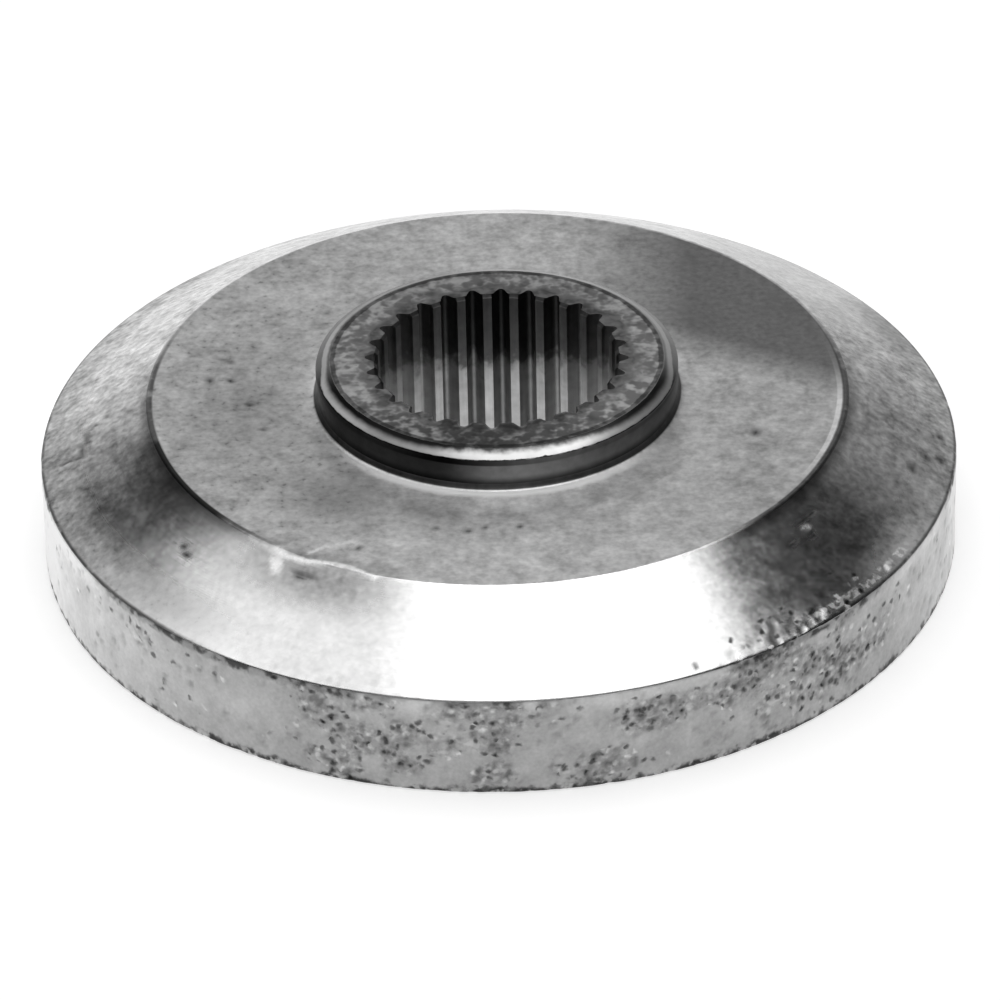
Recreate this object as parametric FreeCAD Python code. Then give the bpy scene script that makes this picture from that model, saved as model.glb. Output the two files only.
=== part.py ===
import FreeCAD, Part
import math
import os

# Blade adapter of a rotary mower: one steel piece, turned to a coned disc with a short hub,
# and broached right through with an involute spline that slides over the spindle's end.
# Millimetres and degrees. The face that clamps the blade lies on z = 0, and the axis is +Z.

INCH = 25.4

# Turned disc, from the blade face upwards
OUTER_DIAMETER = 3.25 * INCH
RIM_HEIGHT = 0.375 * INCH
CONE_HEIGHT = 5.5
PLATEAU_DIAMETER = 62.7
BLADE_FACE_CHAMFER = 0.2
RIM_EDGE_RADIUS = 0.4
PLATEAU_EDGE_RADIUS = 0.3

# Hub that bears on the spindle's bearing
HUB_DIAMETER = 32.5
HUB_HEIGHT = 3.6
HUB_CHAMFER_WIDTH = 1.2
HUB_CHAMFER_HEIGHT = 0.6
HUB_FOOT_RADIUS = 0.6

# Internal involute spline, fillet root, as its pitch and pressure angle define it
SPLINE_TEETH = 28
SPLINE_TEETH_PER_INCH = 32
SPLINE_PRESSURE_ANGLE = 30.0
SPLINE_MINOR_ALLOWANCE = -1.0
SPLINE_ROOT_ALLOWANCE = 1.8
SPLINE_TURN = 4.0
HUB_MOUTH_CHAMFER = 0.3
BLADE_MOUTH_CHAMFER = 0.8

# Nick that a round bar struck in the plateau's edge
NICK_BAR_RADIUS = 2.4
NICK_DEPTH = 0.32
NICK_DIRECTION = -120.0
NICK_LEAN = 24.0

CUT_MARGIN = 1.0
SAME_PLACE = 0.001

PLATEAU_HEIGHT = RIM_HEIGHT + CONE_HEIGHT
TOTAL_HEIGHT = PLATEAU_HEIGHT + HUB_HEIGHT
AXIS = FreeCAD.Vector(0, 0, 1)


def polar(radius, angle, z=0.0):
    """The point at a radius and an angle in radians about the axis."""
    return FreeCAD.Vector(radius * math.cos(angle), radius * math.sin(angle), z)


def ring_edge(solid, radius, z):
    """The circular edge of that radius at that height."""
    for edge in solid.Edges:
        if edge.Curve.TypeId != "Part::GeomCircle":
            continue
        right_radius = abs(edge.Curve.Radius - radius) < SAME_PLACE
        if right_radius and abs(edge.Curve.Center.z - z) < SAME_PLACE:
            return edge
    raise ValueError(f"no ring of radius {radius} at height {z}")


def turned_blank():
    """The disc, cone and hub as they leave the lathe, still solid in the middle."""
    outer_radius = OUTER_DIAMETER / 2
    plateau_radius = PLATEAU_DIAMETER / 2
    hub_radius = HUB_DIAMETER / 2
    half_section = [
        (0, 0),
        (outer_radius - BLADE_FACE_CHAMFER, 0),
        (outer_radius, BLADE_FACE_CHAMFER),
        (outer_radius, RIM_HEIGHT),
        (plateau_radius, PLATEAU_HEIGHT),
        (hub_radius, PLATEAU_HEIGHT),
        (hub_radius, TOTAL_HEIGHT - HUB_CHAMFER_HEIGHT),
        (hub_radius - HUB_CHAMFER_WIDTH, TOTAL_HEIGHT),
        (0, TOTAL_HEIGHT),
    ]
    corners = [FreeCAD.Vector(radius, 0, z) for radius, z in half_section]
    outline = Part.makePolygon(corners + corners[:1])
    blank = Part.Face(outline).revolve(FreeCAD.Vector(0, 0, 0), AXIS, 360)
    for radius, ring_radius, z in (
        (RIM_EDGE_RADIUS, outer_radius, RIM_HEIGHT),
        (PLATEAU_EDGE_RADIUS, plateau_radius, PLATEAU_HEIGHT),
        (HUB_FOOT_RADIUS, hub_radius, PLATEAU_HEIGHT),
    ):
        blank = blank.makeFillet(radius, [ring_edge(blank, ring_radius, z)])
    return blank


class InvoluteSpline:
    """Outline of the splined hole: each space between two teeth has involute flanks and a round root."""

    def __init__(self):
        module = INCH / SPLINE_TEETH_PER_INCH
        self.pressure = math.radians(SPLINE_PRESSURE_ANGLE)
        self.pitch_radius = module * SPLINE_TEETH / 2
        self.base_radius = self.pitch_radius * math.cos(self.pressure)
        self.minor_radius = module * (SPLINE_TEETH + SPLINE_MINOR_ALLOWANCE) / 2
        self.root_radius = module * (SPLINE_TEETH + SPLINE_ROOT_ALLOWANCE) / 2
        self.fillet_start = self.find_fillet_start()

    def flank_slope(self, radius):
        """Angle between the involute and the ray to it, at a radius."""
        return math.acos(self.base_radius / radius)

    def half_space(self, radius):
        """Half of a space's angle at a radius, from the middle of the space to its flank."""
        slope = self.flank_slope(radius)
        at_pitch = math.tan(self.pressure) - self.pressure
        at_radius = math.tan(slope) - slope
        return math.pi / (2 * SPLINE_TEETH) + at_pitch - at_radius

    def fillet_reach(self, radius):
        """How far out the arc goes that leaves both flanks tangentially at a radius."""
        half = self.half_space(radius)
        lean = self.flank_slope(radius) - half
        arc_radius = radius * math.sin(half) / math.cos(lean)
        return radius * math.cos(half) + arc_radius * (1 - math.sin(lean))

    def find_fillet_start(self):
        """The radius where the flanks give way to the root arc that just reaches the root circle."""
        low = self.minor_radius
        high = self.root_radius
        while high - low > SAME_PLACE / 10:
            middle = (low + high) / 2
            if self.fillet_reach(middle) < self.root_radius:
                low = middle
            else:
                high = middle
        return (low + high) / 2

    def flank(self, middle_angle, side):
        """Flank edge of one space, from the tooth's crest to the root arc."""
        halfway = (self.minor_radius + self.fillet_start) / 2
        radii = (self.minor_radius, halfway, self.fillet_start)
        points = [polar(r, middle_angle + side * self.half_space(r)) for r in radii]
        return Part.Arc(*points).toShape()

    def outline(self):
        """Closed wire of the hole, with a tooth's middle at SPLINE_TURN."""
        pitch_angle = 2 * math.pi / SPLINE_TEETH
        start_half = self.half_space(self.fillet_start)
        crest_edge = self.half_space(self.minor_radius)
        edges = []
        for space in range(SPLINE_TEETH):
            middle = math.radians(SPLINE_TURN) + (space + 0.5) * pitch_angle
            root_from = polar(self.fillet_start, middle - start_half)
            root_to = polar(self.fillet_start, middle + start_half)
            crest_from = polar(self.minor_radius, middle + crest_edge)
            crest_top = polar(self.minor_radius, middle + pitch_angle / 2)
            crest_to = polar(self.minor_radius, middle + pitch_angle - crest_edge)
            edges.append(self.flank(middle, -1))
            edges.append(Part.Arc(root_from, polar(self.root_radius, middle), root_to).toShape())
            edges.append(self.flank(middle, 1))
            edges.append(Part.Arc(crest_from, crest_top, crest_to).toShape())
        return Part.Wire(Part.__sortEdges__(edges))


def splined_hole():
    """What the broach takes out, with the lead-in chamfer at each mouth."""
    spline = InvoluteSpline()
    broached = Part.Face(spline.outline()).extrude(AXIS * (TOTAL_HEIGHT + 2 * CUT_MARGIN))
    broached.translate(AXIS * -CUT_MARGIN)
    minor = spline.minor_radius
    hub_mouth = Part.makeCone(
        minor, minor + HUB_MOUTH_CHAMFER, HUB_MOUTH_CHAMFER, AXIS * (TOTAL_HEIGHT - HUB_MOUTH_CHAMFER)
    )
    blade_mouth = Part.makeCone(minor + BLADE_MOUTH_CHAMFER, minor, BLADE_MOUTH_CHAMFER)
    return broached.fuse([hub_mouth, blade_mouth])


def struck_nick():
    """The bar that left the nick: it lies along the plateau's edge and leans towards the cone."""
    direction = math.radians(NICK_DIRECTION)
    lean = math.radians(NICK_LEAN)
    outwards = polar(1, direction)
    away = outwards * math.sin(lean) + AXIS * math.cos(lean)
    along = AXIS.cross(outwards)
    edge_point = polar(PLATEAU_DIAMETER / 2, direction, PLATEAU_HEIGHT)
    bar_middle = edge_point + away * (NICK_BAR_RADIUS - NICK_DEPTH)
    bar_length = PLATEAU_DIAMETER / 2
    return Part.makeCylinder(NICK_BAR_RADIUS, bar_length, bar_middle - along * (bar_length / 2), along)


def blade_adapter():
    """The finished piece."""
    return turned_blank().cut([splined_hole(), struck_nick()])


os.makedirs("parts", exist_ok=True)
adapter = blade_adapter().Solids[0]
adapter.exportStep("parts/blade_adapter.step")
print(f"volume {adapter.Volume:.1f} mm3, valid {adapter.isValid()}, faces {len(adapter.Faces)}")
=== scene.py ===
import math

import bpy
import numpy as np
from mathutils import Matrix, Vector, noise


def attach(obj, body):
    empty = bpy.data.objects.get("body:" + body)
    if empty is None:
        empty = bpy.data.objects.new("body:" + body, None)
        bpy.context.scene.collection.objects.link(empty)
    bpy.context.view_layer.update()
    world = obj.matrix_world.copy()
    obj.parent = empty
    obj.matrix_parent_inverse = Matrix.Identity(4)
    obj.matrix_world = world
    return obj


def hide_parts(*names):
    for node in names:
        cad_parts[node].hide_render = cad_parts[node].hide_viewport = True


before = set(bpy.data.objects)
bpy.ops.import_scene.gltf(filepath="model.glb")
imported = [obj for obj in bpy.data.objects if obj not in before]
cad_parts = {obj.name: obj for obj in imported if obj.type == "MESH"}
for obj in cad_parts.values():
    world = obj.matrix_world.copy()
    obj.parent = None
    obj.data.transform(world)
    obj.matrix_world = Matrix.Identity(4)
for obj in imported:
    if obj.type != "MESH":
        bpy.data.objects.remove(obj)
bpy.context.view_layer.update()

# Splined hole.
# A broach cuts its teeth right through the steel, with involute flanks, round roots and chamfered mouths,
# and the spindle's end slides in. Sizes are millimetres: radius from the axis, height above the blade face.
mm_in_metre = 1000.0
inch = 25.4
teeth = 28
teeth_per_inch = 32
crest_allowance = 1.0
root_allowance = 1.8
module = inch / teeth_per_inch
pressure = math.radians(30.0)
spline_turn = math.radians(4.0)
pitch_angle = 2 * math.pi / teeth
base_radius = module * teeth / 2 * math.cos(pressure)
crest_radius = module * (teeth - crest_allowance) / 2
root_radius = module * (teeth + root_allowance) / 2
top_height = 18.625
hub_mouth_chamfer = 0.3
blade_mouth_chamfer = 0.8

# Where both flanks of a space pass into one round root, found along the involute.
flank_radius = np.linspace(crest_radius, root_radius, 400)
flank_slope = np.arccos(base_radius / flank_radius)
flank_half = math.pi / (2 * teeth) + math.tan(pressure) - pressure - np.tan(flank_slope) + flank_slope
flank_lean = flank_slope - flank_half
arc_radius = flank_radius * np.sin(flank_half) / np.cos(flank_lean)
arc_reach = flank_radius * np.cos(flank_half) + arc_radius * (1 - np.sin(flank_lean))
root_start = int(np.argmax(arc_reach >= root_radius))
root_arc = arc_radius[root_start]
root_middle = root_radius - root_arc

# The columns that the whole mesh is laid out on: a share of them for each space, on its corners and between.
across_root = np.linspace(0, flank_half[root_start], 4, endpoint=False)
across_flank = np.linspace(flank_half[root_start], flank_half[0], 7)
across_crest = np.linspace(flank_half[0], pitch_angle / 2, 5)[1:]
half_space = np.concatenate([across_root, across_flank, across_crest])
one_space = np.concatenate([-half_space[-2:0:-1], half_space])
space_middles = spline_turn + (np.arange(teeth) + 0.5) * pitch_angle
turns = (space_middles[:, None] + one_space).ravel()
off_middle = np.abs(np.tile(one_space, teeth))

round_root = np.sqrt(np.maximum(root_arc**2 - (root_middle * np.sin(off_middle)) ** 2, 0))
round_root += root_middle * np.cos(off_middle)
on_flank = np.interp(off_middle, flank_half[::-1], flank_radius[::-1])
tooth_edge = np.where(off_middle < flank_half[root_start], round_root, on_flank)

section_rows = []


def add_rows(outline, finish, wear=None):
    """Adds a row of the mesh round the axis for each radius and height of an outline."""
    for radius, height in outline:
        section_rows.append((radius + 0 * turns, height, finish, wear))


upper_mouth = np.maximum(tooth_edge, crest_radius + hub_mouth_chamfer)
lower_mouth = np.maximum(tooth_edge, crest_radius + blade_mouth_chamfer)
add_rows([(upper_mouth, top_height)], "broached_teeth")
tooth_heights = np.linspace(top_height - hub_mouth_chamfer, blade_mouth_chamfer, 4)
add_rows([(tooth_edge, height) for height in tooth_heights], "broached_teeth")


class Wire:
    """A number that runs between the nodes of a finish. Arithmetic on it adds Math nodes."""

    def __init__(self, finish, socket):
        self.finish = finish
        self.socket = socket

    def other(self, name):
        """Another output of the node that this number comes from."""
        return Wire(self.finish, self.socket.node.outputs[name])

    def math(self, operation, first, second=0.0):
        """What a Math node makes of two numbers."""
        return self.finish.node("ShaderNodeMath", {"operation": operation}, {0: first, 1: second})

    def __add__(self, number):
        return self.math("ADD", self, number)

    def __radd__(self, number):
        return self.math("ADD", number, self)

    def __sub__(self, number):
        return self.math("SUBTRACT", self, number)

    def __rsub__(self, number):
        return self.math("SUBTRACT", number, self)

    def __mul__(self, number):
        return self.math("MULTIPLY", self, number)

    def __rmul__(self, number):
        return self.math("MULTIPLY", number, self)

    def __truediv__(self, number):
        return self.math("DIVIDE", self, number)

    def __pow__(self, number):
        return self.math("POWER", self, number)

    def __neg__(self):
        return self.math("SUBTRACT", 0.0, self)

    def larger(self, number):
        """The larger of this number and another."""
        return self.math("MAXIMUM", self, number)

    def rise(self, low, high):
        """0 up to low, 1 from high on, and a smooth rise in between."""
        sockets = {"Value": self, "From Min": low, "From Max": high}
        return self.finish.node("ShaderNodeMapRange", {"interpolation_type": "SMOOTHSTEP"}, sockets)

    def ridge(self, low, high, fade):
        """1 from low to high, and 0 from a fade away on either side."""
        return self.rise(low - fade, low) * (1.0 - self.rise(high, high + fade))


class Finish:
    """The nodes of one surface finish or backdrop."""

    def __init__(self, owner):
        owner.use_nodes = True
        self.tree = owner.node_tree
        self.tree.nodes.clear()

    def node(self, kind, settings=None, inputs=None, output=0):
        """Adds a node, sets it, feeds its sockets and gives back one of its outputs."""
        made = self.tree.nodes.new(kind)
        for name, value in (settings or {}).items():
            setattr(made, name, value)
        for name, value in (inputs or {}).items():
            if isinstance(value, Wire):
                self.tree.links.new(value.socket, made.inputs[name])
            else:
                made.inputs[name].default_value = value
        return Wire(self, made.outputs[output]) if made.outputs else None

    def vector(self, x, y, z):
        """A place made of three numbers."""
        return self.node("ShaderNodeCombineXYZ", None, {"X": x, "Y": y, "Z": z})

    def grain(self, place, scale, detail=2.0):
        """Soft noise from 0 to 1, with scale lumps to a unit of the place."""
        return self.node("ShaderNodeTexNoise", None, {"Vector": place, "Scale": scale, "Detail": detail})

    def shades(self, amount):
        """The grey that reflects this share of the light."""
        greys = {"Factor": amount, 6: (0.0, 0.0, 0.0, 1.0), 7: (1.0, 1.0, 1.0, 1.0)}
        return self.node("ShaderNodeMix", {"data_type": "RGBA"}, greys, 2)

    def pocks(self, place, scale):
        """Ragged hollows, 1 in the middle of each, and two chances from 0 to 1 that each draws."""
        bent = self.node("ShaderNodeTexNoise", None, {"Vector": place, "Scale": 1.2}, "Color")
        moved = {0: bent, 1: (0.9, 0.9, 0.9), 2: place}
        moved = self.node("ShaderNodeVectorMath", {"operation": "MULTIPLY_ADD"}, moved)
        distance = self.node("ShaderNodeTexVoronoi", None, {"Vector": moved, "Scale": scale})
        chance = self.node("ShaderNodeSeparateColor", None, {0: distance.other("Color")})
        return 1.0 - distance.rise(0.15, 0.55), chance, chance.other("Green")

    def mark(self, name):
        """A number that the mesh carries at its points."""
        return self.node("ShaderNodeAttribute", {"attribute_name": name}, None, "Fac")

    def bump(self, height, depth):
        """Normal of a relief whose height runs from 0 to 1 over a depth in metres."""
        return self.node("ShaderNodeBump", None, {"Height": height, "Strength": 1.0, "Distance": depth})


def steel_finish(name):
    """A new finish with the place on the steel, in millimetres, its x, y and z, and its radius."""
    finish = Finish(bpy.data.materials.new(name))
    metres = finish.node("ShaderNodeTexCoord", output="Object")
    place = finish.node("ShaderNodeVectorMath", {"operation": "SCALE"}, {0: metres, "Scale": mm_in_metre})
    x = finish.node("ShaderNodeSeparateXYZ", None, {0: place}, "X")
    y = x.other("Y")
    z = x.other("Z")
    return finish, place, x, y, z, (x * x + y * y) ** 0.5


# The broach's long scores run up the teeth, and the crests are lighter than the roots. Below a ragged height
# the teeth
# are painted lighter and above it darker: a painted reflection of the bright floor below and of the dark
# wall across the hole.
finish, place, x, y, z, radius = steel_finish("broached_teeth")
scores = finish.grain(finish.vector(x * 2.5, y * 2.5, z * 0.05), 1.0, 3.0)
blotches = finish.grain(place, 0.9, 4.0)
wobble = finish.grain(finish.vector(x, y, 0.0), 0.9) - 0.5
# Painted light: at the left and right of the hole the teeth are lighter, and their lighter lower part
# reaches higher.
at_side = (x * x) / (radius * radius)
# The ragged height where the painted light below gives way to the painted shade above.
shade_height = z + wobble * 3.0 + (blotches - 0.5) * 5.0 - at_side * 4.0
painted_bright = 1.0 - shade_height.rise(10.0, 12.2)
crest = 1.0 - radius.rise(crest_radius + 0.01, crest_radius + 0.1)
lit_tone = 0.28 + crest * (0.26 - at_side * 0.22) + at_side * 0.14
shaded_tone = 0.05 + crest * 0.07 + at_side * 0.1
tone = (shaded_tone + (lit_tone - shaded_tone) * painted_bright) * (0.3 + scores * 0.6 + blotches * 0.7)
steel = finish.node("ShaderNodeBsdfPrincipled", None, {
    "Base Color": finish.shades(tone),
    "Metallic": 1.0,
    "Roughness": 0.34 + scores * 0.15,
    "Anisotropic": 0.6,
    "Normal": finish.bump(scores, 0.00003),
})
finish.node("ShaderNodeOutputMaterial", None, {"Surface": steel})

# Blade face and rim.
# The flat underside clamps the blade. The rim above was never turned: it keeps the rough skin of the slug,
# dull grey and eaten by rust into pits that crowd together in front and on the right.
outer_radius = 82.55 / 2
rim_height = 9.525
rim_edge_rounding = 0.4
rim_foot_rounding = 0.2
blade_edge_rounding = 0.1
blade_face_chamfer = 0.2
plateau_radius = 62.7 / 2
plateau_height = 15.025
pit_spacing = 0.95
pit_reach = 0.48
pit_depth = 0.1
pit_shuffle = 57.3
rust_patch = 2.6
skin_wave = 1.7
skin_depth = 0.03
bright_edge_reach = 2.6

# Fields of rust pits on the rim: degrees from the front, height, half length, half height, how crowded.
rust_fields = [
    (-22.5, 6.6, 4.5, 3.4, 0.9), (-17.3, 4.8, 6.0, 2.8, 1.0), (-13.0, 5.4, 6.0, 2.7, 1.0),
    (-9.6, 5.2, 3.5, 2.6, 0.8), (-6.5, 5.3, 3.2, 2.4, 0.9), (-3.0, 5.6, 3.2, 2.4, 0.8),
    (-0.6, 5.4, 1.8, 2.6, 0.9), (-3.0, 7.8, 9.0, 2.0, 0.6), (-1.4, 2.1, 3.2, 1.8, 0.8),
    (-20.2, 2.2, 4.5, 2.6, 0.7), (-12.4, 2.9, 2.8, 1.8, 0.7), (18.2, 6.8, 5.0, 3.3, 0.95),
    (23.6, 7.1, 5.5, 2.0, 0.8), (31.0, 7.8, 7.0, 4.0, 1.0), (35.0, 6.6, 6.0, 4.4, 1.0),
    (41.5, 5.2, 9.5, 5.0, 0.85), (12.0, 2.1, 6.5, 2.2, 0.95), (54.0, 5.5, 7.0, 4.0, 0.5),
    (-48.0, 7.5, 12.0, 3.2, 0.2), (-68.0, 6.0, 11.0, 4.0, 0.05), (150.0, 5.0, 16.0, 5.0, 0.8),
    (-140.0, 4.5, 14.0, 5.0, 0.7), (95.0, 4.0, 9.0, 4.0, 0.5), (-19.0, 8.6, 6.0, 1.4, 1.0),
    (0.0, 8.9, 3.0, 0.9, 1.0),
]

# Where the rim's upper edge is rubbed bare of its dark scale and painted with a highlight: degrees from the
# front, half length, bareness and highlight.
bare_and_highlit_edges = [
    (18.0, 13.0, 1.0), (-10.5, 4.5, 0.8), (3.2, 1.2, 0.8),
    (-17.0, 1.2, 0.7), (64.0, 12.0, 1.0), (-66.0, 12.0, 0.8),
]


def rounded(before, corner, after, radius, steps):
    """Points of the arc that rounds a corner between two straight runs."""
    before, corner, after = (np.array(point, float) for point in (before, corner, after))
    back = (before - corner) / np.linalg.norm(before - corner)
    on = (after - corner) / np.linalg.norm(after - corner)
    half_turn = math.acos(float(back @ on)) / 2
    middle = corner + (back + on) / np.linalg.norm(back + on) * (radius / math.sin(half_turn))
    first = corner + back * (radius / math.tan(half_turn)) - middle
    last = corner + on * (radius / math.tan(half_turn)) - middle
    sweep = math.pi - 2 * half_turn
    shares = np.linspace(0, 1, steps)
    rays = [first * math.sin((1 - t) * sweep) + last * math.sin(t * sweep) for t in shares]
    return [tuple(middle + ray / math.sin(sweep)) for ray in rays]


def along_run(start, end, distances):
    """Points at these distances from the start of a straight run."""
    start, end = np.array(start), np.array(end)
    step = (end - start) / np.linalg.norm(end - start)
    return [tuple(start + step * distance) for distance in distances]


def bell(value, middle, reach):
    """1 at the middle, falling smoothly to 0 at a reach to either side."""
    share = np.clip(1 - np.abs(value - middle) / reach, 0, 1)
    return share * share * (3 - 2 * share)


def front_angle(places):
    """Degrees round the axis from the front, to the right as seen from there."""
    return np.degrees(np.arctan2(places[:, 0], -places[:, 1]))


def patch(angle, level, arc_radius, middle_angle, middle_level, half_length, half_width):
    """1 in the middle of an oval patch round the axis, falling to 0 at its outline."""
    along = np.radians((angle - middle_angle + 180) % 360 - 180) * arc_radius
    return bell(np.hypot(along / half_length, (level - middle_level) / half_width), 0, 1)


def rust_crowding(places):
    """How crowded the rust pits are at places on the skin, from 0 to 1."""
    angle = front_angle(places)
    patchy = np.array([noise.noise(Vector(place) / rust_patch) for place in places])
    crowding = np.zeros(len(places))
    for middle_angle, height, half_length, half_height, crowded in rust_fields:
        field = patch(angle, places[:, 2], outer_radius, middle_angle, height, half_length, half_height)
        crowding = np.maximum(crowding, crowded * np.minimum(1, 1.6 * field))
    return np.clip(0.28 + 0.3 * patchy + crowding * (0.8 + 0.6 * patchy), 0, 1)


def rust_pits(places):
    """Depth of the pits and their crowding, from 0 to 1. Crowded places are likelier to have a pit."""
    crowding = rust_crowding(places)
    depths = []
    for place, crowded in zip(places, crowding):
        distances, middles = noise.voronoi(Vector(place) / pit_spacing)
        pitted = noise.cell(middles[0] * pit_shuffle) < 1.6 * crowded - 0.95
        depths.append(max(0.0, 1.0 - (distances[0] / pit_reach) ** 2) if pitted else 0.0)
    return np.array(depths) * (0.3 + 0.7 * crowding), crowding


def rim_wear(places):
    """Depth in millimetres, darkness and soiling of what rust did to the rim, and where its upper edge is
    painted bright.
    """
    pits, crowding = rust_pits(places)
    wavy = np.array([noise.noise(Vector(place) / skin_wave) for place in places])
    angle = front_angle(places)
    bareness_and_highlight = 0 * pits
    for middle_angle, half_length, bare_and_highlit in bare_and_highlit_edges:
        painted_bright = patch(angle, places[:, 2], outer_radius, middle_angle, rim_height, half_length, bright_edge_reach)
        bareness_and_highlight = np.maximum(bareness_and_highlight, bare_and_highlit * painted_bright)
    return pits * pit_depth + skin_depth * (1 + wavy), pits, crowding, bareness_and_highlight


blade_edge = (outer_radius - blade_face_chamfer, 0.0)
rim_foot = (outer_radius, blade_face_chamfer)
rim_edge = (outer_radius, rim_height)
plateau_edge = (plateau_radius, plateau_height)
face_reach = blade_edge[0] - 0.3
blade_face = [(lower_mouth + (face_reach - lower_mouth) * t, 0.0) for t in (0.0, 0.5, 1.0)]
add_rows(blade_face, "bright_turned_steel")
add_rows(rounded((0, 0), blade_edge, rim_foot, blade_edge_rounding, 2), "rough_rim_skin", rim_wear)
add_rows(rounded(blade_edge, rim_foot, rim_edge, rim_foot_rounding, 3), "rough_rim_skin", rim_wear)
rim_distances = np.linspace(0.4, 8.55, 25)
add_rows(along_run(rim_foot, rim_edge, rim_distances), "rough_rim_skin", rim_wear)
edge_arc = rounded(rim_foot, rim_edge, plateau_edge, rim_edge_rounding, 6)
add_rows(edge_arc[:3], "rough_rim_skin", rim_wear)

# Rust specks the dull skin dark and light where pits crowd, a ragged dark line runs along the upper edge,
# and painted shadow along the foot.
finish, place, x, y, z, _ = steel_finish("rough_rim_skin")
pits = finish.mark("darkness")
crowding = finish.mark("soiling")
cloudy = finish.grain(place, 0.3, 4.0)
coarse = finish.grain(place, 0.8, 3.0)
lumps = finish.grain(place, 1.3, 2.0)
fine = finish.grain(place, 2.8, 2.0)
bare_and_highlit = finish.mark("bareness_and_highlight")
crowded = crowding.rise(0.3, 0.9)
pocks, chance, tint = finish.pocks(place, 1.3)
eaten = pocks * (crowding * 1.35 - 0.33 - chance).rise(0.0, 0.12)
specks = eaten * tint.rise(0.15, 0.5) * 0.7 + lumps.rise(0.5, 0.7) * crowded * 0.25
flecks = eaten * (1.0 - tint.rise(0.2, 0.4)) * 0.28 + (1.0 - lumps).rise(0.5, 0.68) * crowded * 0.16
in_front = (-y).rise(28.0, 34.0)
ragged = z + in_front * 0.2 + (lumps - 0.5) * 0.9
upper_line = ragged.rise(8.7, 9.25) * (0.3 + coarse.rise(0.42, 0.6) * 0.7) * (1.0 - bare_and_highlit.rise(0.1, 0.5))
# Painted shadow along the rim's foot, where it stands on the floor.
contact_shadow = (1.0 - (z + (coarse - 0.5) * 2.2).rise(0.2, 0.9)) * lumps.rise(0.34, 0.5)
# Painted light: the skin is lighter on the left and where it is seen edge-on, a painted sheen.
edge_on = finish.node("ShaderNodeLayerWeight", None, {"Blend": 0.5}, "Facing")
on_left = (-x).rise(0.0, 40.0)
painted_light = on_left * (0.05 + edge_on * edge_on * 0.42) + edge_on**4.0 * (0.35 + x.rise(20.0, 40.0) * 0.2)
clean = (1.0 - specks) * (1.0 - pits * 0.6) * (1.0 - upper_line * 0.8) * (1.0 - contact_shadow * 0.85)
uneven = (cloudy - 0.5) * 0.32 + (coarse - 0.5) * 0.24 + (fine - 0.5) * 0.16 + flecks + bare_and_highlit * 0.2
stained = (1.0 - crowded * 0.1) * (1.0 - crowding.rise(0.75, 1.0) * 0.12)
tone = (0.46 + uneven + painted_light) * clean * stained
relief = lumps * 0.3 + coarse * 0.4 + fine * 0.1
steel = finish.node("ShaderNodeBsdfPrincipled", None, {
    "Base Color": finish.shades(tone),
    "Metallic": 1.0,
    "Roughness": 0.5 + coarse * 0.2,
    "Normal": finish.bump(relief, 0.00008),
})
finish.node("ShaderNodeOutputMaterial", None, {"Surface": steel})

# Cone and plateau.
# The lathe faced these two bright, with fine rings all round, and broke the edges between them.
# Since then the edge in front on the left was struck, and knocks, scratches and oil have marked the rest.
plateau_edge_rounding = 0.3
hub_radius = 32.5 / 2
hub_foot = (hub_radius, plateau_height)
cone_slope = math.atan2(plateau_height - rim_height, outer_radius - plateau_radius)
nick_start = -37.0
nick_length = 8.5
nick_depth = 0.16
nick_lip = 0.08
scratch_reach = 0.35
swell_angle = 44.0
swell_height = 0.1

# Small knocks: degrees from the front, radius, half length along the turning, half width, depth.
knocks = [
    (-96.2, 26.0, 0.7, 0.45, 0.06), (-96.5, 24.2, 0.5, 0.45, 0.04), (-104.4, 25.7, 0.4, 0.4, 0.03),
    (71.1, 24.3, 0.75, 0.45, 0.06), (-86.4, 22.2, 0.4, 0.35, 0.03), (-84.6, 23.2, 0.4, 0.35, 0.03),
    (-75.1, 21.8, 0.4, 0.35, 0.03), (-58.4, 26.3, 0.4, 0.35, 0.03), (-61.9, 27.7, 0.4, 0.35, 0.03),
    (-14.1, 22.7, 0.5, 0.4, 0.05), (-7.1, 22.9, 0.6, 0.4, 0.06), (-3.4, 22.2, 0.4, 0.35, 0.05),
    (0.6, 23.2, 0.5, 0.4, 0.05), (3.0, 23.9, 0.4, 0.35, 0.05), (4.4, 22.2, 0.5, 0.35, 0.05),
    (-26.1, 27.8, 0.4, 0.35, 0.04), (-52.6, 34.9, 0.5, 0.3, 0.02), (-51.0, 35.3, 0.7, 0.3, 0.02),
    (80.8, 38.6, 0.65, 0.5, 0.05), (76.8, 37.8, 0.8, 0.55, 0.05), (87.3, 39.8, 0.65, 0.5, 0.05),
    (81.9, 39.9, 0.6, 0.45, 0.05), (-103.7, 24.6, 0.4, 0.4, 0.04), (-81.4, 22.6, 0.4, 0.35, 0.03),
    (24.1, 40.5, 0.4, 0.35, 0.03),
]

# Scratches: depth, darkness, and the line as degrees from the front and radius. One with no darkness is
# painted bright, bare steel under a painted highlight.
scratches = [
    (0.05, 0.7, [(-90.2, 36.1), (-89.3, 36.9), (-86.5, 37.3), (-83.6, 37.6), (-84.5, 38.8), (-84.3, 39.4)]),
    (0.03, 0.0, [(-33.0, 30.7), (-31.6, 29.0), (-30.6, 28.4), (-28.8, 27.5), (-27.2, 27.2)]),
    (0.02, 0.0, [(51.2, 33.9), (52.4, 34.1)]),
    (0.05, 0.9, [(47.1, 34.5), (51.9, 34.9)]),
    (0.05, 0.9, [(50.5, 33.4), (55.2, 33.5)]),
]

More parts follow.
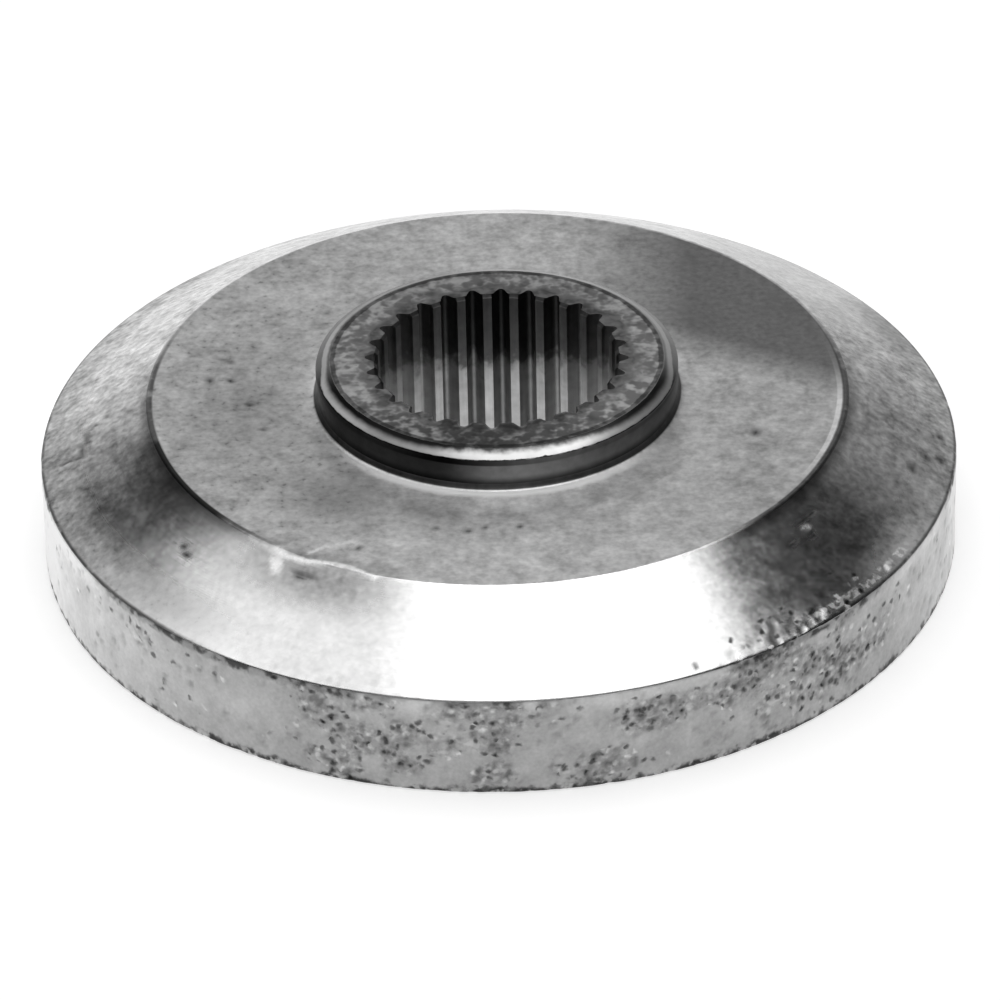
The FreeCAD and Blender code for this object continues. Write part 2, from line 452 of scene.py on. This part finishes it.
# The lip that the blow on the left raised along the plateau's edge: degrees from the front and radius.
struck_lip = [
    (-45.0, 31.6), (-41.0, 31.7), (-36.5, 31.85), (-32.5, 31.7),
    (-27.6, 31.1), (-25.0, 31.0), (-22.6, 31.3), (-20.5, 31.6),
]

# Thin films of old oil on the plateau: degrees from the front, radius, half length, half width, darkness.
films = [(-40.0, 22.5, 9.0, 6.5, 0.6), (-19.0, 20.8, 5.0, 3.0, 0.4), (-85.0, 22.5, 17.0, 9.0, 0.4)]


def off_line(angle, radius, line):
    """Distance in millimetres from places to a line, both given by angle and radius."""
    nearest = np.full(len(angle), 99.0)
    for (angle_a, radius_a), (angle_b, radius_b) in zip(line, line[1:]):
        along = np.radians(angle - angle_a) * radius_a
        length = math.radians(angle_b - angle_a) * radius_a
        rise = radius_b - radius_a
        share = np.clip((along * length + (radius - radius_a) * rise) / (length**2 + rise**2), 0, 1)
        nearest = np.minimum(nearest, np.hypot(along - share * length, radius - radius_a - share * rise))
    return nearest


def struck_nick(angle, radius):
    """Depth, darkness and brightness of the nick: a bruise along the edge, bare steel under a painted
    highlight, and below it a gouge and a dent, dark in themselves and under the lip's painted shadow.
    """
    past_edge = (radius - plateau_radius) / np.where(radius > plateau_radius, math.cos(cone_slope), 1.0)
    along = np.radians(angle - nick_start) * plateau_radius
    before_blow = 0.45 * np.clip(1 + along / 6, 0, 1)
    after_blow = np.clip(3 - 2 * along / nick_length, 0, 1)
    strength = np.where(along < -0.5, before_blow, after_blow)
    lip = strength * bell(off_line(angle, radius, struck_lip), 0, 0.48)
    flag = np.minimum(1, 1.8 * bell(along, 0.37 * past_edge - 0.45, 0.85) * bell(past_edge, 1.1, 1.8))
    gouge = bell(along, 2.9, 2.3) * bell(past_edge, 1.85, 0.6)
    shaded_dent = bell(along, 5.0, np.where(along > 5.0, 9.5, 15.0)) * bell(past_edge, 1.5, 5.0)
    bright = np.maximum(0.8 * lip, flag)
    darkness = np.maximum(0.95 * gouge, 0.62 * shaded_dent) * (1 - bright)
    return gouge * nick_depth + 0.2 * nick_depth * shaded_dent - lip * nick_lip, darkness, bright


def oil_films_and_dark(places, angle, radius):
    """Soiling of the plateau by thin films of oil, and a straight-edged darker area behind on the right."""
    soiling = np.zeros(len(places))
    for film_angle, film_radius, half_length, half_width, film_dark in films:
        film = patch(angle, radius, film_radius, film_angle, film_radius, half_length, half_width)
        soiling = np.maximum(soiling, film * film_dark)
    straight_edged_dark = np.clip((0.5 * places[:, 0] + 0.866 * places[:, 1] - 12.8) / 5.0, 0, 1)
    straight_edged_dark *= np.clip((places[:, 0] - 6.0) / 12.0, 0, 1)
    return (radius < plateau_radius - 0.2) * np.maximum(soiling, straight_edged_dark * 0.95)


def face_wear(places):
    """Depth in millimetres, darkness, soiling, and brightness of bare steel and painted highlights, of the
    marks on the cone and the plateau.
    """
    angle = front_angle(places)
    radius = np.hypot(places[:, 0], places[:, 1])
    depth, darkness, bareness_and_highlight = struck_nick(angle, radius)
    for knock_angle, knock_radius, half_length, half_width, knock_depth in knocks:
        reach = (1.3 * half_length, 1.3 * half_width)
        hollow = patch(angle, radius, knock_radius, knock_angle, knock_radius, *reach)
        depth += hollow * knock_depth
        darkness = np.maximum(darkness, hollow)
    for scratch_depth, scratch_dark, line in scratches:
        groove = bell(off_line(angle, radius, line), 0, scratch_reach)
        depth += groove * scratch_depth
        darkness = np.maximum(darkness, groove * scratch_dark)
        bareness_and_highlight = np.maximum(bareness_and_highlight, groove * (scratch_dark == 0) * 0.6)
    depth -= swell_height * patch(angle, radius, outer_radius, swell_angle, outer_radius, 7.0, 2.4)
    rusty = bell(angle, 43, 20) * np.clip((radius - 37.8) / 1.4, 0, 1)
    soiling = np.maximum(oil_films_and_dark(places, angle, radius), rusty)

    # The rim's pits creep a little way up the cone on the right, and over the edge all round.
    near_rim = np.clip((radius - 38.2) / 2.0, 0, 1)
    outside = near_rim > 0
    pits = rust_pits(places[outside] - np.array([0, 0, 2.5]))[0]
    eaten = near_rim[outside] * bell(angle[outside], 46, 20) + np.clip(near_rim[outside] - 0.85, 0, 1)
    depth[outside] += pits * eaten * pit_depth
    darkness[outside] = np.maximum(darkness[outside], pits * eaten)
    return depth, darkness, soiling, bareness_and_highlight


add_rows(edge_arc[3:], "bright_turned_steel", face_wear)
cone_stretches = [np.linspace(11.0, 8.0, 9), np.linspace(7.5, 3.6, 9), np.linspace(3.2, 0.12, 13)]
cone_distances = np.concatenate(cone_stretches)
add_rows(along_run(plateau_edge, rim_edge, cone_distances), "bright_turned_steel", face_wear)
plateau_arc = rounded(rim_edge, plateau_edge, hub_foot, plateau_edge_rounding, 5)
add_rows(plateau_arc, "bright_turned_steel", face_wear)
plateau_distances = np.concatenate([[0.14, 0.3, 0.5, 0.75, 1.05], np.linspace(1.5, 13.5, 20)])
add_rows(along_run(plateau_edge, hub_foot, plateau_distances), "bright_turned_steel", face_wear)

# Turning marks run round the axis. What is measured along the section is about 1 at the hub's foot,
# 16.3 at the plateau's edge and 31.8 at the rim's.
finish, place, x, y, z, radius = steel_finish("bright_turned_steel")
along = radius - z
east = x / radius
north = y / radius
rings = finish.grain(finish.vector(along * 7.0, east * 1.5, north * 1.5), 1.0, 3.0)
bands = finish.grain(finish.vector(along * 0.9, east * 1.1, north * 1.1), 1.0, 3.0)
smears = finish.grain(finish.vector(along * 0.45, east * 6.0, north * 6.0), 1.0, 4.0)
clouds = finish.grain(place, 0.2, 4.0)
mottle = finish.grain(place, 0.55, 4.0)
pepper = finish.grain(place, 1.6, 3.0)
lumps = finish.grain(place, 1.4, 1.0)

# Stretches of the surface, by how far out they lie and which way from the axis.
on_cone = along.rise(16.4, 16.8)
outer_cone = along.rise(24.5, 30.0) * ((-east).rise(0.5, 0.75) + east.rise(0.78, 0.92))
outer_band = along.rise(26.0, 31.0) * (-north).rise(0.3, 0.55)
right_band = outer_band * east.rise(0.7, 0.85)
right_back = east.rise(0.3, 0.7) * north.rise(0.1, 0.5) * on_cone
left_front = (-east).rise(0.68, 0.8) * (-north).ridge(0.25, 0.65, 0.12)
in_front = (-north).rise(0.5, 0.9)
behind_front = (north + 1.0).rise(0.18, 0.34)
before_back = 1.0 - north.rise(0.1, 0.5)
at_sides = behind_front * (1.0 - north.rise(-0.15, 0.3))
at_right = east.rise(0.85, 0.94)
under_hub = (1.0 - along.rise(1.8, 8.5)) * (-north).rise(0.1, 0.6)
under_hub = under_hub * (0.4 + east.rise(0.2, 0.7) * 0.25)

# Dark lines along the edges, painted shade in the crease round the hub's foot, and painted shade below the
# plateau's edge.
plateau_line = along.ridge(16.1, 16.55, 0.22) * behind_front * before_back
mottled_line = plateau_line * mottle.rise(0.2, 0.5) * 0.8
plateau_line = mottled_line.larger(plateau_line * left_front * 0.97)
left_shade = (1.0 - along.rise(17.5, 24.0)) * on_cone * left_front
shadow_line = (1.0 - along.rise(16.4, 18.0 + mottle)) * on_cone * at_sides
rim_line = along.rise(31.1, 31.5) * behind_front * mottle.rise(0.32, 0.48)
# Painted shade in the crease at the hub's foot.
hub_foot_shade = 1.0 - along.rise(1.25, 1.5)

# Specks, knocks, oil, the straight-edged darker area behind on the right, and rust.
specked = (-east).rise(0.3, 0.8) * (1.0 - on_cone) + outer_cone * 0.5
specks = (1.0 - pepper).rise(0.62, 0.72) * specked
marks = finish.mark("darkness") * (0.6 + lumps * 0.8)
soiled = finish.mark("soiling")
oil_and_dark = soiled * (1.0 - on_cone) * (0.45 + mottle * 0.6 + clouds * 0.5)
eaten = soiled * on_cone
pocks, chance, tint = finish.pocks(place, 1.2)
light_pocks = tint.rise(0.66, 0.7)
rust = pocks * (eaten * 0.85 - chance).rise(0.0, 0.1) * (1.0 - light_pocks)

# Bright marks, made less metallic so that they look white from every side: bare steel under a painted
# highlight on the struck edge, painted glints among the rust, a painted highlight along the rim's edge and a
# painted highlight ring round the hub's foot.
bare_and_highlit = finish.mark("bareness_and_highlight") * (0.45 + pepper.rise(0.38, 0.56) * 0.55)
glints = pocks * (eaten * 1.1 - chance).rise(0.0, 0.1) * light_pocks * along.rise(28.4, 29.4) * 0.75
rim_edge_highlight = along.ridge(30.0, 30.8, 0.3) * east.ridge(0.7, 0.86, 0.06) * (-north).rise(0.3, 0.5)
rim_edge_highlight = rim_edge_highlight * lumps.rise(0.42, 0.6) * (1.0 - rust) * 0.5
bare_and_highlit = bare_and_highlit.larger(glints + rim_edge_highlight)
foot_highlight = (along + (pepper - 0.5) * 0.4).rise(1.4, 1.7) * (1.0 - along.rise(1.9, 2.8))
foot_highlight = foot_highlight * (0.12 + (-north).rise(0.5, 0.98) * 0.88)

# All of it together, on a steel that is a little cloudy.
clean = (1.0 - marks * 0.9) * (1.0 - specks * 0.3) * (1.0 - oil_and_dark * 0.7) * (1.0 - hub_foot_shade * 0.9)
clean = clean * (1.0 - plateau_line) * (1.0 - shadow_line * 0.65)
clean = clean * (1.0 - rim_line * 0.7) * (1.0 - left_shade * 0.55)
uneven = (clouds - 0.5) * 0.65 + (mottle - 0.5) * (1.1 + on_cone * 0.3) + (bands - 0.5) * 0.25
uneven = uneven + (smears - 0.5) * on_cone * 0.5 + (pepper - 0.5) * (0.9 + on_cone * 0.7)
uneven = uneven * (1.0 - (-north).rise(0.3, 0.75) * on_cone * (1.0 - east.rise(0.45, 0.7)) * 0.78)
uneven = uneven * (1.0 - right_back * 0.5)
# Painted highlights inside the plateau's edge on the right and on the cone on the right.
plateau_edge_highlight = along.ridge(15.55, 15.85, 0.15) * at_right * (1.0 - north.rise(0.0, 0.3))
right_cone_highlight = at_right * (-north).rise(0.1, 0.25) * on_cone
painted_light = plateau_edge_highlight * 0.6 + right_cone_highlight * 0.25
# The plateau is painted lighter in front, and just in front of the hub, against the dark reflection of its
# wall.
painted_light = painted_light + in_front * (1.0 - on_cone) * 0.2 + under_hub * 0.35
# The cone's outer band is painted lighter on the left.
painted_light = painted_light + outer_band * (-east).rise(0.5, 0.7) * 0.5
# On the right the outer band is painted lighter too, and the cone's right-back darker, a painted dark
# reflection.
tone = 0.57 * (1.0 + uneven + painted_light + right_band * 0.7 - right_back * 0.4) * clean
tone = (tone + (1.0 - tone) * bare_and_highlit.larger(foot_highlight)) * (1.0 - rust * 0.9)
roughness = 0.24 - on_cone * (0.09 + east.rise(0.3, 0.6) * 0.02) + rings * 0.06 + mottle * 0.08
ring_relief = 0.6 - east.rise(0.2, 0.5) * on_cone * 0.45
steel = finish.node("ShaderNodeBsdfPrincipled", None, {
    "Base Color": finish.shades(tone),
    # Painted light is also made less metallic, so that it looks bright from every side.
    "Metallic": 1.0 - bare_and_highlit * 0.6 - under_hub * 0.35 - foot_highlight * 0.95 - right_band * 0.15,
    "Roughness": roughness + outer_cone * 0.25 + marks * 0.2 + bare_and_highlit * 0.2 + under_hub * 0.2,
    "Anisotropic": 0.55,
    "Anisotropic Rotation": 0.25,
    "Normal": finish.bump(rings * ring_relief + smears * 0.4, 0.000012),
})
finish.node("ShaderNodeOutputMaterial", None, {"Surface": steel})

# Hub.
# A short boss of the same steel, which bears on the spindle's bearing. Its wall and chamfer are dull, with
# edges rubbed bright under painted highlights and a turned fillet at the foot. Its top is bruised and greasy
# round the teeth.
hub_chamfer_width = 1.2
hub_chamfer_height = 0.6
hub_foot_rounding = 0.6
hub_edge_rounding = 0.2
bruise_size = 0.9
bruise_depth = 0.08
hub_shoulder = (hub_radius, top_height - hub_chamfer_height)
hub_edge = (hub_radius - hub_chamfer_width, top_height)
hub_inside = (root_radius, top_height)
foot_arc = rounded(plateau_edge, hub_foot, hub_shoulder, hub_foot_rounding, 5)
shoulder_arc = rounded(hub_foot, hub_shoulder, hub_edge, hub_edge_rounding, 3)
top_arc = rounded(hub_shoulder, hub_edge, hub_inside, hub_edge_rounding, 3)


def hub_wear(places):
    """Depth in millimetres, darkness, soiling and bareness of the bruises on the hub's top."""
    bruised = np.array([noise.noise(Vector(place) / bruise_size) for place in places])
    bruised = np.clip(bruised, 0, 1)
    greasy = bell(front_angle(places), -8, 70)
    return bruised * bruise_depth, bruised, greasy, 0 * bruised


add_rows(foot_arc[:4], "bright_turned_steel")
add_rows(foot_arc[4:], "dull_hub_wall")
add_rows(along_run(hub_foot, hub_shoulder, (1.4, 2.2)), "dull_hub_wall")
add_rows(shoulder_arc, "dull_hub_wall")
add_rows(along_run(hub_shoulder, hub_edge, (0.65,)), "dull_hub_wall")
add_rows(top_arc[:2], "dull_hub_wall")
flat_reach = hub_edge[0] - 0.3
hub_flat = [(flat_reach * (1 - t) + upper_mouth * t, top_height) for t in np.linspace(0, 0.9, 8)]
add_rows(top_arc[2:] + hub_flat, "greasy_hub_top", hub_wear)

# The wall is nearly black, painted lighter in front a little to the right and darker at the left and at its
# foot: painted highlight and shade. A painted highlight ring lies on the chamfer, over an edge rubbed
# bright.
finish, place, x, y, z, radius = steel_finish("dull_hub_wall")
scale = finish.grain(place, 1.1, 4.0)
north = y / radius
in_front = (-north).rise(0.4, 0.8) * x.ridge(-2.5, 6.5, 5.0)
front_half = (-north).rise(0.0, 0.3)
ragged = z + (scale - 0.5) * (0.1 + in_front * 0.25)
ring_low = 18.34 - front_half * 0.24 - in_front * 0.04
fade_low = 18.48 - front_half * 0.34 + in_front * 0.12
fade_high = 18.6 - front_half * 0.1 + in_front * 0.12
# A painted highlight ring on the chamfer over an edge rubbed bright, strongest in front and weakest behind.
painted_bright = ragged.rise(ring_low - 0.06, ring_low) * (1.0 - ragged.rise(fade_low, fade_high))
far_left = (-x).rise(10.0, 14.5)
strong = 0.26 + x.rise(2.0, 9.0) * 0.16 + in_front * 0.18
strong = strong + far_left * (0.2 + (-north).rise(0.05, 0.25) * 0.25)
painted_bright = painted_bright * strong * (1.0 - north.rise(0.2, 0.6) * 0.7)
to_left = (0.9 - x.rise(-5.0, 9.0) * 0.7) * (0.3 + x.rise(-11.0, -5.0) * 0.7)
under_ring = z.ridge(17.55, 17.98, 0.15) * to_left
# Painted shade at the wall's foot.
wall_foot_shade = 1.0 - z.rise(15.6, 16.5)
lit = 0.05 + x.rise(-5.5, 0.5) * 0.22 - x.rise(4.0, 13.0) * 0.13 - far_left * 0.03
tone = lit * (0.7 + scale * 0.6) * (1.0 - under_ring) * (1.0 - wall_foot_shade * 0.8)
# The chamfer's tone is painted as well: darker in front, where the highlight ring crosses it.
on_chamfer = z.rise(17.98, 18.03)
tone = tone * (1.0 - on_chamfer * front_half * 0.85) + on_chamfer * (1.0 - front_half) * 0.13
tone = tone + (0.9 - tone) * painted_bright
steel = finish.node("ShaderNodeBsdfPrincipled", None, {
    "Base Color": finish.shades(tone),
    "Metallic": 1.0,
    "Roughness": 0.24 + scale * 0.2 + painted_bright * (1.0 - in_front) * 0.3,
    "Normal": finish.bump(scale, 0.00002),
})
finish.node("ShaderNodeOutputMaterial", None, {"Surface": steel})

# The top is flecked light and dark, with grease in front and round the teeth, and a dark ring near its edge.
finish, place, _, y, _, radius = steel_finish("greasy_hub_top")
mottle = finish.grain(place, 1.1, 1.5)
stains = finish.grain(place, 0.5, 2.0)
flecks = (1.0 - mottle).rise(0.42, 0.7)
bruises = finish.mark("darkness")
greasy = finish.mark("soiling")
near_teeth = 1.0 - (radius + (stains - 0.5) * 5.0 + (mottle - 0.5) * 3.0).rise(11.7, 12.7)
edge_dark_ring = (radius + (mottle - 0.5) * 0.3).ridge(14.6, 14.9, 0.15)
at_back = (y / radius).rise(0.3, 0.8)
dirt = (mottle * 0.7 + stains * 0.4 + greasy * 0.1).rise(0.46, 0.66)
clean = (1.0 - dirt * 0.5) * (1.0 - bruises * 0.6) * (1.0 - edge_dark_ring * 0.65) * (1.0 - near_teeth * 0.6)
tone = (0.38 + flecks * (0.14 + greasy * 0.5)) * clean * (1.0 - greasy * 0.72) * (1.0 - at_back * 0.2)
steel = finish.node("ShaderNodeBsdfPrincipled", None, {
    "Base Color": finish.shades(tone),
    "Metallic": 1.0,
    "Roughness": 0.36 + mottle * 0.2,
    "Normal": finish.bump(mottle, 0.00005),
})
finish.node("ShaderNodeOutputMaterial", None, {"Surface": steel})

# Whole adapter.
# All of it is one piece of steel, so the rows above close into one skin round the metal.
# The knocks and pits are pressed into that skin, square to the surface.
sharp_angle = math.radians(35)
columns = len(turns)
row_count = len(section_rows)
radii = np.array([row[0] for row in section_rows])
heights = np.array([row[1] for row in section_rows])[:, None] + np.zeros(columns)
ideal = np.stack([radii * np.cos(turns), radii * np.sin(turns), heights], axis=-1)
here = np.arange(row_count * columns).reshape(row_count, columns)
beside = np.roll(here, -1, axis=1)
corners = np.stack([here, beside, np.roll(beside, -1, axis=0), np.roll(here, -1, axis=0)], axis=-1)
steel_mesh = bpy.data.meshes.new("blade_adapter_steel")
steel_mesh.from_pydata((ideal / mm_in_metre).reshape(-1, 3).tolist(), [], corners.reshape(-1, 4).tolist())
steel_mesh.polygons.foreach_set("use_smooth", [True] * len(steel_mesh.polygons))
steel_mesh.set_sharp_from_angle(angle=sharp_angle)

finish_names = sorted({row[2] for row in section_rows})
for name in finish_names:
    steel_mesh.materials.append(bpy.data.materials[name])
row_slots = [finish_names.index(row[2]) for row in section_rows]
steel_mesh.polygons.foreach_set("material_index", np.repeat(row_slots, columns).astype(np.int32))

outwards = np.roll(radii, -1, axis=0) - np.roll(radii, 1, axis=0)
upwards = np.roll(heights, -1, axis=0) - np.roll(heights, 1, axis=0)
stretch = np.hypot(outwards, upwards)
square = np.stack([upwards * np.cos(turns), upwards * np.sin(turns), -outwards], axis=-1)
square /= stretch[..., None]
worn = ideal.copy()
darkness = np.zeros((row_count, columns))
soiling = np.zeros((row_count, columns))
bareness_and_highlight = np.zeros((row_count, columns))
for wear in (rim_wear, face_wear, hub_wear):
    worn_rows = [index for index, row in enumerate(section_rows) if row[3] is wear]
    depth, dark, soiled, bared_and_highlit = wear(ideal[worn_rows].reshape(-1, 3))
    worn[worn_rows] -= square[worn_rows] * depth.reshape(-1, columns, 1)
    darkness[worn_rows] = dark.reshape(-1, columns)
    soiling[worn_rows] = soiled.reshape(-1, columns)
    bareness_and_highlight[worn_rows] = bared_and_highlit.reshape(-1, columns)
steel_mesh.vertices.foreach_set("co", (worn / mm_in_metre).astype(np.float32).ravel())
for name, values in (("darkness", darkness), ("soiling", soiling), ("bareness_and_highlight", bareness_and_highlight)):
    carried = steel_mesh.attributes.new(name, "FLOAT", "POINT")
    carried.data.foreach_set("value", values.astype(np.float32).ravel())
steel_mesh.update()

adapter = bpy.data.objects.new("blade_adapter_steel", steel_mesh)
bpy.context.scene.collection.objects.link(adapter)
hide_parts("blade_adapter")
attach(adapter, "root")

# Floor.
# A wide sheet of plain white paper that the adapter lies on. It looks white and keeps a soft shadow.
floor_reach = 3.0
floor_mesh = bpy.data.meshes.new("paper_floor")
corner_ways = [(-1, -1), (1, -1), (1, 1), (-1, 1)]
floor_corners = [(right * floor_reach, back * floor_reach, 0) for right, back in corner_ways]
floor_mesh.from_pydata(floor_corners, [], [(0, 1, 2, 3)])
floor = bpy.data.objects.new("paper_floor", floor_mesh)
bpy.context.scene.collection.objects.link(floor)
floor_mesh.materials.append(bpy.data.materials.new("white_paper"))
paper = Finish(floor_mesh.materials[0])
matte = paper.node("ShaderNodeBsdfDiffuse", None, {"Color": (0.6, 0.6, 0.6, 1.0)})
lift = paper.node("ShaderNodeEmission", None, {"Color": (1.0, 1.0, 1.0, 1.0), "Strength": 0.62})
lifted = paper.node("ShaderNodeAddShader", None, {0: matte, 1: lift})
camera_ray = paper.node("ShaderNodeLightPath", output="Is Camera Ray")
looked_at = camera_ray + camera_ray.other("Is Glossy Ray") + camera_ray.other("Is Transmission Ray")
surface = paper.node("ShaderNodeMixShader", None, {0: looked_at, 1: matte, 2: lifted})
paper.node("ShaderNodeOutputMaterial", None, {"Surface": surface})

# Studio light.
# A large softbox hangs overhead, a little to the right, with a weaker one beside it on the left.
# Behind the adapter the paper sweeps up and fades, a faint glow comes from the front, and the rest is dark.


def softbox(name, middle, size, brightness):
    """A flat lamp of an even brightness that faces straight down."""
    lamp = bpy.data.lights.new(name, "AREA")
    lamp.shape = "RECTANGLE"
    lamp.size, lamp.size_y = size
    lamp.energy = brightness * math.pi * size[0] * size[1]
    hung = bpy.data.objects.new(name, lamp)
    hung.location = middle
    bpy.context.scene.collection.objects.link(hung)


softbox("overhead_softbox", (0.09, 0.0, 0.6), (0.47, 0.6), 2.4)
softbox("left_softbox", (-0.33, 0.15, 0.6), (0.36, 0.6), 1.45)

studio = bpy.data.worlds.new("studio")
bpy.context.scene.world = studio
room = Finish(studio)
way = room.node("ShaderNodeTexCoord", output="Generated")
across = room.node("ShaderNodeSeparateXYZ", None, {0: way}, "X")
away = across.other("Y")
up = across.other("Z")
aside = across / away.larger(0.01)
narrowed = (1.0 - aside.rise(0.0, 0.55) * 0.62 - aside.rise(0.5, 1.5) * 0.38) * aside.rise(-1.15, -0.2)
fade = (1.0 - up.rise(0.52, 0.70)) * (1.1 - up * 0.85)
sweep = narrowed * fade * away.rise(0.0, 0.2)
left_wall = (-across).rise(0.3, 0.7) * up.rise(0.55, 0.65) * 0.08
straight_ahead = (-away).rise(0.3, 0.7) * (1.0 - (across * across).rise(0.06, 0.36))
front_glow = straight_ahead * up.ridge(0.3, 0.75, 0.2) * 0.45
strength = sweep + left_wall + front_glow + 0.045
camera_ray = room.node("ShaderNodeLightPath", output="Is Camera Ray")
dim = room.node("ShaderNodeBackground", None, {"Color": (1.0, 1.0, 1.0, 1.0), "Strength": strength})
white = room.node("ShaderNodeBackground", None, {"Color": (1.0, 1.0, 1.0, 1.0), "Strength": 1.0})
surroundings = room.node("ShaderNodeMixShader", None, {0: camera_ray, 1: dim, 2: white})
room.node("ShaderNodeOutputWorld", None, {"Surface": surroundings})

# Camera.
# It stands in front and above, far off with a long lens, and leans a little to one side.
camera_rise = 0.57526
camera_lean = 0.0214
camera_distance = 0.6604
aim = Vector((0.000027, 0.0, 0.00341))
lens = bpy.data.cameras.new("camera")
lens.sensor_width = 36.0
lens.lens = 262.19
lens.clip_start = 0.01
camera = bpy.data.objects.new("camera", lens)
tilt = Matrix.Rotation(math.pi / 2 - camera_rise, 4, "X") @ Matrix.Rotation(-camera_lean, 4, "Z")
back_off = Vector((0.0, -math.cos(camera_rise), math.sin(camera_rise))) * camera_distance
camera.matrix_world = Matrix.Translation(aim + back_off) @ tilt
bpy.context.scene.collection.objects.link(camera)
bpy.context.scene.camera = camera
bpy.context.scene.view_settings.view_transform = "Standard"
